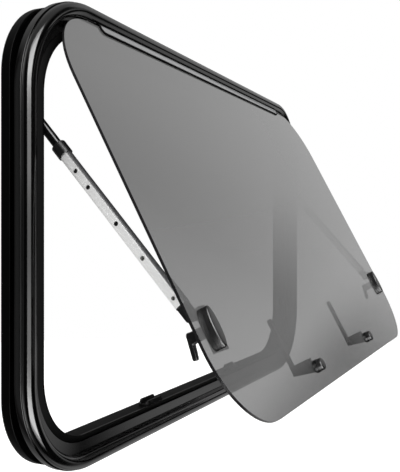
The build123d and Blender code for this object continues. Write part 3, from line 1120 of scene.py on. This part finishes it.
@dataclass
class Fixings:
    """All screws that hold the clamp ring, the stay hangers and the keepers, with places in millimetres."""

    ring_inset: float = 16.5
    ring_back: float = 24.5
    ring_spacing: float = 187.0
    ring_sides: Point = (150.0, 325.0)
    hanger_face: float = 390.5
    hanger_depth: float = 14.0
    hanger_height: float = 361.7
    hanger_reach: float = 10.2
    keeper_offset: float = 138.0
    keeper_reach: float = 12.0
    keeper_depth: float = 8.25
    keeper_top: float = 21.0
    side_keeper_face: float = 391.5
    side_keeper_depth: float = 5.3
    side_keeper_height: float = 109.75

    def ring_places(self) -> list[Vector]:
        """List the places of the screws round the back of the clamp ring."""
        outline = BentSection()
        half, high = outline.width / 2, outline.bottom + outline.height
        across = [(i - 1.5) * self.ring_spacing for i in range(4)]
        flat = [(x, z) for x in across for z in (outline.bottom + self.ring_inset, high - self.ring_inset)]
        flat += [(side.value * (half - self.ring_inset), z) for side in Side for z in self.ring_sides]
        bend = (outline.corner - self.ring_inset) * sin(pi / 4)
        middle = half - outline.corner + bend
        for z in (outline.bottom + outline.corner - bend, high - outline.corner + bend):
            flat += [(side.value * middle, z) for side in Side]
        return [Vector((x, self.ring_back, z)) for x, z in flat]

    def build(self, finish: Material) -> None:
        """Model one screw, copy it to every place and dress the copies.

        Args:
            finish: Material of the screws.
        """
        screw, small_screw = CrossScrew(), CrossScrew(head=4.0, height=1.3, recess=2.4, slot=0.65, depth=0.7)
        pattern, small_pattern = screw.build(), small_screw.build()
        inside, up = Vector((0, 1, 0)), Vector((0, 0, 1))
        places = [(f"ring_screw_{i}", place, inside) for i, place in enumerate(self.ring_places(), 1)]
        for side in Side:
            inward = Vector((-side.value, 0, 0))
            for end in (-1, 1):
                height = self.hanger_height + end * self.hanger_reach
                across = side.value * self.keeper_offset + end * self.keeper_reach
                places += [
                    (
                        f"hanger_screw_{side.label}_{end}",
                        Vector((side.value * self.hanger_face, self.hanger_depth, height)),
                        inward,
                    ),
                    (
                        f"keeper_screw_{side.label}_{end}",
                        Vector((across, self.keeper_depth, self.keeper_top)),
                        up,
                    ),
                ]
            face = side.value * self.side_keeper_face
            place = Vector((face, self.side_keeper_depth, self.side_keeper_height))
            small = small_screw.set_in(small_pattern, f"side_keeper_screw_{side.label}", place, inward)
            dress(small, finish, "frame")
        for name, place, way in places:
            dress(screw.set_in(pattern, name, place, way), finish, "frame")
        bpy.data.objects.remove(pattern)
        bpy.data.objects.remove(small_pattern)


# The studio


@dataclass
class Studio:
    """Camera, lamps, white surround and pale floor."""

    eye: tuple[float, float, float] = (-983.49, -452.33, 236.21)
    heading: float = -65.27
    lens: float = 55.74
    rise: float = 0.0032
    floor_height: float = -600.0
    floor_radius: float = 5000.0
    floor_colour: str = "#F0F0EE"
    floor_roughness: float = 0.9
    floor_glow: float = 0.55
    low: tuple[Point, ...] = (
        (-180, 0.01), (-34.8, 0.01), (-31.5, 0.72), (-8, 0.76), (12, 0.4), (25, 0.35), (90, 0.35),
        (125, 0.02), (136, 0.25), (148, 0.25), (155, 0.01), (180, 0.01),
    )
    level: tuple[Point, ...] = (
        (-180, 0.01), (-15, 0.01), (-9, 0.6), (0, 0.6), (12, 0.08), (100, 0.08), (128, 0.02),
        (136, 0.25), (148, 0.25), (155, 0.01), (180, 0.01),
    )
    high: tuple[Point, ...] = (
        (-180, 0.01), (-34.8, 0.01), (-33.2, 0.85), (-24, 0.95), (-14, 0.62), (-8, 0.73), (0, 0.73),
        (15, 0.2), (100, 0.2), (128, 0.02), (136, 0.25), (148, 0.25), (155, 0.01), (180, 0.01),
    )
    band_edges: tuple[Point, ...] = ((-0.06, -0.14), (0.1, 0.18), (0.55, 0.85))
    overhead: float = 0.5
    ambient: float = 0.9
    box_aim: tuple[float, float, float] = (-425.0, 0.0, 237.0)
    box_bearing: float = -128.0
    box_distance: float = 3000.0
    box_width: float = 3000.0
    box_step: float = 10.0
    box_rows: tuple[float, ...] = (5.0, 14.0, 14.0, 12.5, 9.5, 3.5, 2.3, 4.2, 11.0, 14.0, 13.0, 11.0, 6.0)

    def set_camera(self) -> None:
        """Place the level camera beyond the left end of the window."""
        lens = bpy.data.cameras.new("photo_camera")
        lens.lens = self.lens
        lens.sensor_width = 36.0
        lens.shift_y = self.rise
        camera = bpy.data.objects.new("photo_camera", lens)
        bpy.context.scene.collection.objects.link(camera)
        camera.location = Vector(self.eye) * MM
        camera.rotation_euler = (pi / 2, 0, radians(self.heading))
        bpy.context.scene.camera = camera

    def bearing_ramp(self, tree: Tree, bearing: Socket, stops: Iterable[Point]) -> Socket:
        """Give a brightness that changes with the compass bearing.

        Args:
            tree: The world's node tree.
            bearing: Bearing as a share of a full turn that starts at -180 degrees.
            stops: Pairs of a bearing in degrees and the brightness there, in order.

        Returns:
            The brightness.
        """
        node = add_node(tree, "ShaderNodeValToRGB", None, {0: bearing})
        ramp = node.color_ramp
        pairs = list(stops)
        while len(ramp.elements) < len(pairs):
            ramp.elements.new(0.5)
        for element, (angle, value) in zip(ramp.elements, pairs):
            element.position = (angle + 180) / 360
            element.color = (value, value, value, 1)
        return node.outputs["Color"]

    def set_surround(self) -> None:
        """Make the world white to the eye and through glass, and bright and dark walls to reflections."""
        world = bpy.data.worlds.new("white_studio")
        bpy.context.scene.world = world
        world.use_nodes = True
        tree = world.node_tree
        tree.nodes.clear()
        output = add_node(tree, "ShaderNodeOutputWorld")
        place = add_node(tree, "ShaderNodeTexCoord")
        axes = add_node(tree, "ShaderNodeSeparateXYZ", None, {0: place.outputs["Generated"]})
        bearing = add_node(
            tree, "ShaderNodeMath", {"operation": "ARCTAN2"}, {0: axes.outputs["Y"], 1: axes.outputs["X"]}
        )
        share = add_node(
            tree, "ShaderNodeMapRange", {"From Min": -pi, "From Max": pi},
            {"Value": bearing.outputs["Value"]},
        )
        turn = share.outputs["Result"]
        low, seen, high = (self.bearing_ramp(tree, turn, band) for band in (self.low, self.level, self.high))
        heights = [
            add_node(
                tree, "ShaderNodeMapRange",
                {"From Min": near, "From Max": far, "interpolation_type": "SMOOTHSTEP"},
                {"Value": axes.outputs["Z"]},
            ).outputs["Result"]
            for near, far in self.band_edges
        ]
        for height, band in ((heights[0], low), (heights[1], high)):
            blend = add_node(tree, "ShaderNodeMix", {"data_type": "FLOAT"}, {0: height, 2: seen, 3: band})
            seen = blend.outputs[0]
        seen = add_node(
            tree, "ShaderNodeMix", {"data_type": "FLOAT", 3: self.overhead}, {0: heights[2], 2: seen}
        ).outputs[0]
        rays = add_node(tree, "ShaderNodeLightPath")
        straight = add_node(
            tree, "ShaderNodeMath", {"operation": "MAXIMUM"},
            {0: rays.outputs["Is Camera Ray"], 1: rays.outputs["Is Transmission Ray"]},
        )
        mirrored = add_node(
            tree, "ShaderNodeMix", {"data_type": "FLOAT", 2: self.ambient},
            {0: rays.outputs["Is Glossy Ray"], 3: seen},
        )
        strength = add_node(
            tree, "ShaderNodeMix", {"data_type": "FLOAT", 3: 1.0},
            {0: straight.outputs["Value"], 2: mirrored.outputs[0]},
        )
        light = add_node(tree, "ShaderNodeBackground", {"Color": WHITE}, {"Strength": strength.outputs[0]})
        tree.links.new(light.outputs["Background"], output.inputs["Surface"])

    def add_softboxes(self) -> None:
        """Stand an upright arc of softboxes beyond the camera, whose line runs down the bead."""
        bearing = radians(self.box_bearing)
        height = 2 * self.box_distance * tan(radians(self.box_step / 2))
        area = self.box_width * height * MM**2
        for number, radiance in enumerate(self.box_rows):
            rise = radians((number - len(self.box_rows) // 2) * self.box_step)
            way = Vector((cos(bearing) * cos(rise), sin(bearing) * cos(rise), sin(rise)))
            lamp = bpy.data.lights.new("softbox", "AREA")
            lamp.shape = "RECTANGLE"
            lamp.size = self.box_width * MM
            lamp.size_y = height * MM
            lamp.energy = radiance * pi * area
            box = bpy.data.objects.new("softbox", lamp)
            bpy.context.scene.collection.objects.link(box)
            box.location = (Vector(self.box_aim) + way * self.box_distance) * MM
            box.rotation_euler = (pi / 2 - rise, 0, bearing + pi / 2)
            box.visible_diffuse = False

    def lay_floor(self) -> None:
        """Lay the pale floor well under the window."""
        deselect_all()
        bpy.ops.mesh.primitive_circle_add(
            vertices=96, radius=self.floor_radius * MM, fill_type="NGON",
            location=(0, 0, self.floor_height * MM),
        )
        floor = bpy.context.object
        floor.name = "pale_floor"
        bpy.ops.object.transform_apply(location=True, rotation=True, scale=True)
        material, tree, output = new_material("pale_floor_paint")
        paint = add_node(
            tree, "ShaderNodeBsdfPrincipled",
            {"Base Color": linear(self.floor_colour), "Roughness": self.floor_roughness},
        )
        rays = add_node(tree, "ShaderNodeLightPath")
        strength = add_node(
            tree, "ShaderNodeMath", {"operation": "MULTIPLY", 1: self.floor_glow},
            {0: rays.outputs["Is Camera Ray"]},
        )
        glow = add_node(
            tree, "ShaderNodeEmission", {"Color": WHITE}, {"Strength": strength.outputs["Value"]}
        )
        lit = {0: paint.outputs["BSDF"], 1: glow.outputs["Emission"]}
        both = add_node(tree, "ShaderNodeAddShader", None, lit)
        white = add_node(tree, "ShaderNodeEmission", {"Color": WHITE, "Strength": 1.0})
        through = mixed(
            tree, rays.outputs["Is Transmission Ray"], both.outputs["Shader"], white.outputs["Emission"]
        )
        tree.links.new(through, output.inputs["Surface"])
        floor.data.materials.append(material)
        floor.visible_glossy = False

    def set_up(self) -> None:
        """Set the whole studio."""
        bpy.context.scene.view_settings.view_transform = "Standard"
        self.set_camera()
        self.set_surround()
        self.add_softboxes()
        self.lay_floor()


def dress_solids(finishes: Finishes, bodies: dict[str, list[str]]) -> None:
    """Ease and finish the solids that keep their own form.

    Args:
        finishes: Materials of the window.
        bodies: Names of the solids on each body.
    """
    looks = {
        "hinge_rail": (finishes.hinge, "hinge_alloy", 0.25),
        "hinge_trim": (finishes.rubber, "seal_rubber", 0.0),
        "stay_rod": (finishes.steel, "black_steel", 0.4),
        "stay_tube": (finishes.tube, "tube_alloy", 0.15),
        "stay_collar": (finishes.nylon, "black_plastic", 0.6),
        "stay_end": (finishes.nylon, "black_plastic", 0.4),
        "stay_button": (finishes.bright, "bright_steel", 0.3),
        "stay_rivet": (finishes.bright, "bright_steel", 0.3),
        "stay_hanger": (finishes.nylon, "black_plastic", 0.4),
        "stay_bracket": (finishes.nylon, "black_plastic", 0.5),
        "latch_base": (finishes.nylon, "black_plastic", 0.4),
        "bottom_lever": (finishes.nylon, "black_plastic", 1.0),
        "side_lever": (finishes.nylon, "black_plastic", 0.0),
        "bottom_keeper": (finishes.nylon, "black_plastic", 0.5),
        "side_keeper": (finishes.nylon, "black_plastic", 0.4),
    }
    makers = {"side_lever": moulded_copy, "bottom_keeper": tall_keeper}
    for body, nodes in bodies.items():
        for node in nodes:
            kind = node.removesuffix("_left").removesuffix("_right")
            if kind in looks:
                material, slot, edge = looks[kind]
                piece = makers.get(kind, eased_copy)(node, f"dressed_{node}", edge)
                dress(piece, material, body, [node])


def main() -> None:
    """Build the window's looks in order."""
    logging.basicConfig(level=logging.INFO, format="%(name)s: %(message)s")
    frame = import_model()
    finishes = Finishes()
    dress(OuterFrame().build(), finishes.coat, "frame", ["outer_frame"])
    dress(ClampFoot().build(), finishes.clamp, "frame", ["clamp_frame"])
    dress(ClampLiner().build(), finishes.clamp, "frame", ["clamp_frame"])
    dress(GlassSeal().build(), finishes.rubber, "frame", ["glass_seal"])
    pane = frame["nodes"]["glass_pane"]
    pane.data.materials.clear()
    pane.data.materials.append(finishes.glass)
    dress_solids(finishes, frame["record"]["behaviour"]["bodies"])
    add_caps(finishes.polished, frame["record"])
    Fixings().build(finishes.steel)
    Studio().set_up()


if __name__ == "__main__":
    main()
